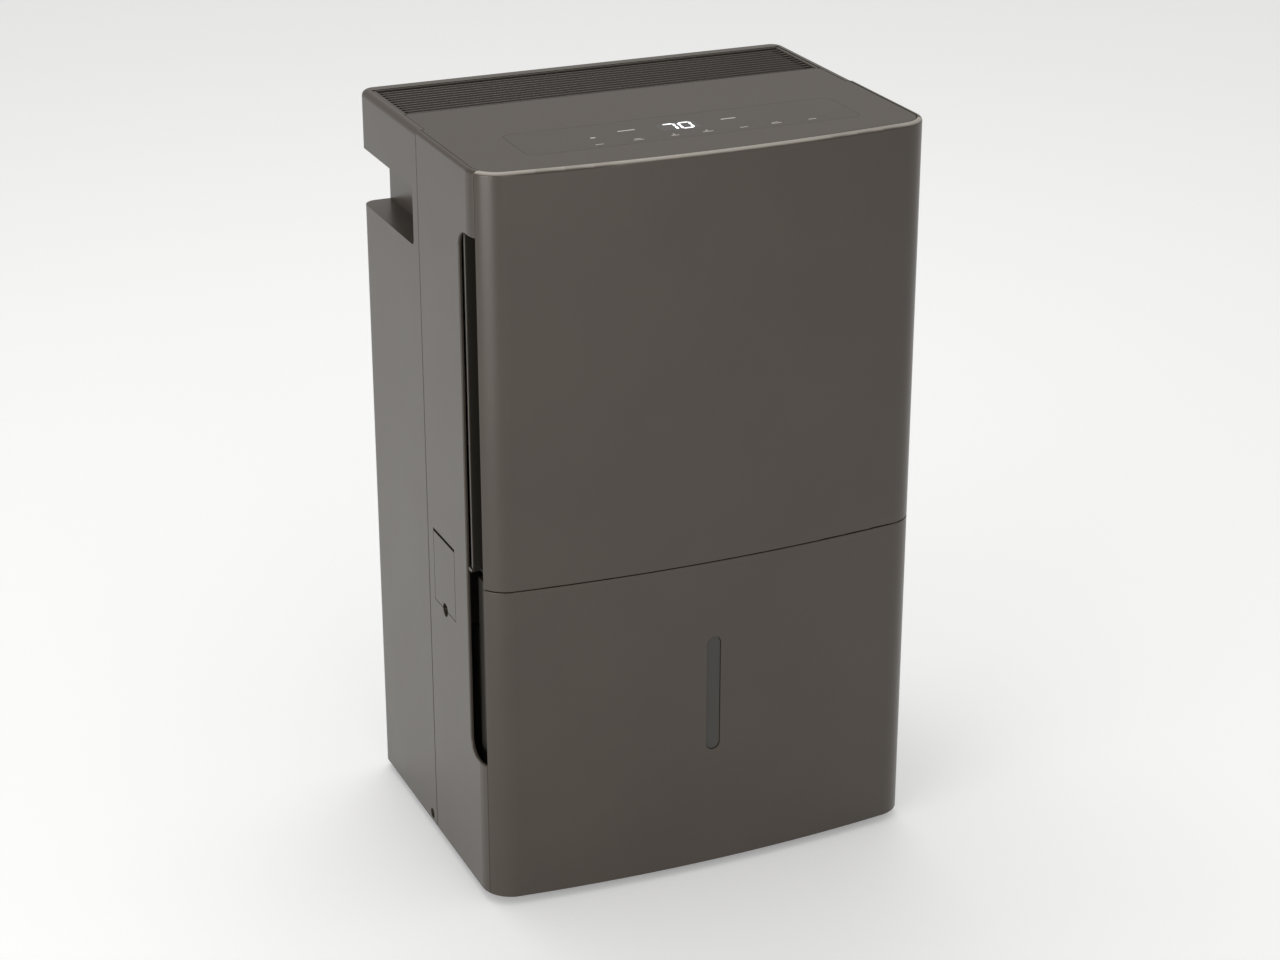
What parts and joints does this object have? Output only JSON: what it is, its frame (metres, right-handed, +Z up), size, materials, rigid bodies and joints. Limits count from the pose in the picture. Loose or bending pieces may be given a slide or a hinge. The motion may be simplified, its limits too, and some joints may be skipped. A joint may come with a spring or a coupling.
{
  "type": "dehumidifier",
  "caption": "Free-standing compressor dehumidifier: front water bucket, side air inlets, top outlet grille, touch controls, hose drain door and casters.",
  "frame": {"origin": "on the floor under the middle of the cabinet", "axes": "+Z up, -Y towards the user (the bowed front with the bucket), +X to the user's right"},
  "size_m": [0.386, 0.29, 0.63],
  "materials": {
    "casing_plastic": "satin moulded ABS, dark warm grey",
    "inner_plastic": "matt moulded polypropylene, near black",
    "overlay_film": "printed satin film",
    "circuit_board": "glass-fibre board with solder mask",
    "clear_plastic": "smoked clear plastic",
    "tub_plastic": "thin moulded polypropylene",
    "handle_plastic": "moulded plastic",
    "foam": "closed-cell foam",
    "rubber": "moulded rubber",
    "steel": "zinc-plated steel",
    "aluminium_fin": "thin rolled foil",
    "copper": "drawn copper tube",
    "black_paint": "black stoving enamel",
    "white_plastic": "moulded nylon",
    "mesh_fabric": "woven polypropylene mesh",
    "motor_paint": "grey enamel on pressed steel"
  },
  "bodies": {
    "cabinet": {"rear_casing": "casing_plastic", "front_casing": "casing_plastic", "front_cover": "casing_plastic", "top_deck": "casing_plastic", "control_overlay": "overlay_film", "control_board": "circuit_board", "outlet_grille": "inner_plastic", "base_pan": "inner_plastic", "drain_door_pin": "steel", "drain_elbow": "rubber", "evaporator_fins": "aluminium_fin", "evaporator_tube": "copper", "condenser_fins": "aluminium_fin", "condenser_tube": "copper", "coil_housing": "white_plastic", "drip_tray": "white_plastic", "fan_housing": "white_plastic", "outlet_duct": "white_plastic", "fan_motor": "motor_paint", "compressor": "black_paint", "compressor_grommets": "rubber", "compressor_bolts": "steel", "terminal_cover": "inner_plastic", "accumulator": "black_paint", "suction_pipe": "copper", "discharge_pipe": "copper", "filter_drier": "copper", "liquid_pipe": "copper", "capillary": "copper", "bay_partition": "white_plastic", "bucket_switch": "inner_plastic", "electronics_box": "white_plastic", "main_board": "circuit_board", "capacitor": "inner_plastic", "cord_gland": "inner_plastic", "casing_screws": "steel"},
    "bucket": {"bucket_tub": "tub_plastic", "bucket_front": "casing_plastic", "level_window": "clear_plastic"},
    "bucket_handle": {"bucket_handle": "handle_plastic"},
    "bucket_float": {"bucket_float": "foam"},
    "drain_door": {"drain_door": "casing_plastic"},
    "drain_cap": {"drain_cap": "rubber"},
    "air_filter": {"filter_frame": "inner_plastic", "filter_mesh": "mesh_fabric"},
    "fan": {"blower_wheel": "inner_plastic", "motor_shaft": "steel"},
    "switch_lever": {"switch_lever": "steel"},
    "caster_front_left": {"caster_fork_front_left": "inner_plastic", "caster_axle_front_left": "steel"},
    "caster_wheel_front_left": {"caster_wheel_front_left": "inner_plastic"},
    "caster_rear_left": {"caster_fork_rear_left": "inner_plastic", "caster_axle_rear_left": "steel"},
    "caster_wheel_rear_left": {"caster_wheel_rear_left": "inner_plastic"},
    "caster_front_right": {"caster_fork_front_right": "inner_plastic", "caster_axle_front_right": "steel"},
    "caster_wheel_front_right": {"caster_wheel_front_right": "inner_plastic"},
    "caster_rear_right": {"caster_fork_rear_right": "inner_plastic", "caster_axle_rear_right": "steel"},
    "caster_wheel_rear_right": {"caster_wheel_rear_right": "inner_plastic"}
  },
  "joints": [
    {"name": "bucket_slide", "type": "slide", "parent": "cabinet", "child": "bucket", "axis": [0, -1, 0], "range_m": [0, 0.25]},
    {"name": "bucket_handle_swing", "type": "hinge", "parent": "bucket", "child": "bucket_handle", "pos_m": [0, -0.064, 0.234], "axis": [1, 0, 0], "range_deg": [0, 90]},
    {"name": "bucket_float_rise", "type": "slide", "parent": "bucket", "child": "bucket_float", "axis": [0, 0, 1], "range_m": [0, 0.012]},
    {"name": "drain_door_swing", "type": "hinge", "parent": "cabinet", "child": "drain_door", "pos_m": [-0.1888, -0.036, 0.2875], "axis": [0, 1, 0], "range_deg": [0, 95]},
    {"name": "drain_cap_pull", "type": "slide", "parent": "cabinet", "child": "drain_cap", "axis": [-1, 0, 0], "range_m": [0, 0.008]},
    {"name": "air_filter_slide", "type": "slide", "parent": "cabinet", "child": "air_filter", "axis": [1, 0, 0], "range_m": [0, 0.36]},
    {"name": "fan_spin", "type": "hinge", "parent": "cabinet", "child": "fan", "pos_m": [0, 0.02, 0.428], "axis": [0, 1, 0], "continuous": true},
    {"name": "switch_lever_press", "type": "hinge", "parent": "cabinet", "child": "switch_lever", "pos_m": [0.12, -0.0025, 0.157], "axis": [1, 0, 0], "range_deg": [-8, 0], "stiffness_Nm_per_rad": 0.02},
    {"name": "caster_front_left_swivel", "type": "hinge", "parent": "cabinet", "child": "caster_front_left", "pos_m": [-0.158, -0.088, 0.028], "axis": [0, 0, 1], "continuous": true},
    {"name": "caster_front_left_roll", "type": "hinge", "parent": "caster_front_left", "child": "caster_wheel_front_left", "pos_m": [-0.158, -0.081, 0.01], "axis": [1, 0, 0], "continuous": true},
    {"name": "caster_rear_left_swivel", "type": "hinge", "parent": "cabinet", "child": "caster_rear_left", "pos_m": [-0.158, 0.1, 0.028], "axis": [0, 0, 1], "continuous": true},
    {"name": "caster_rear_left_roll", "type": "hinge", "parent": "caster_rear_left", "child": "caster_wheel_rear_left", "pos_m": [-0.158, 0.107, 0.01], "axis": [1, 0, 0], "continuous": true},
    {"name": "caster_front_right_swivel", "type": "hinge", "parent": "cabinet", "child": "caster_front_right", "pos_m": [0.158, -0.088, 0.028], "axis": [0, 0, 1], "continuous": true},
    {"name": "caster_front_right_roll", "type": "hinge", "parent": "caster_front_right", "child": "caster_wheel_front_right", "pos_m": [0.158, -0.081, 0.01], "axis": [1, 0, 0], "continuous": true},
    {"name": "caster_rear_right_swivel", "type": "hinge", "parent": "cabinet", "child": "caster_rear_right", "pos_m": [0.158, 0.1, 0.028], "axis": [0, 0, 1], "continuous": true},
    {"name": "caster_rear_right_roll", "type": "hinge", "parent": "caster_rear_right", "child": "caster_wheel_rear_right", "pos_m": [0.158, 0.107, 0.01], "axis": [1, 0, 0], "continuous": true}
  ]
}
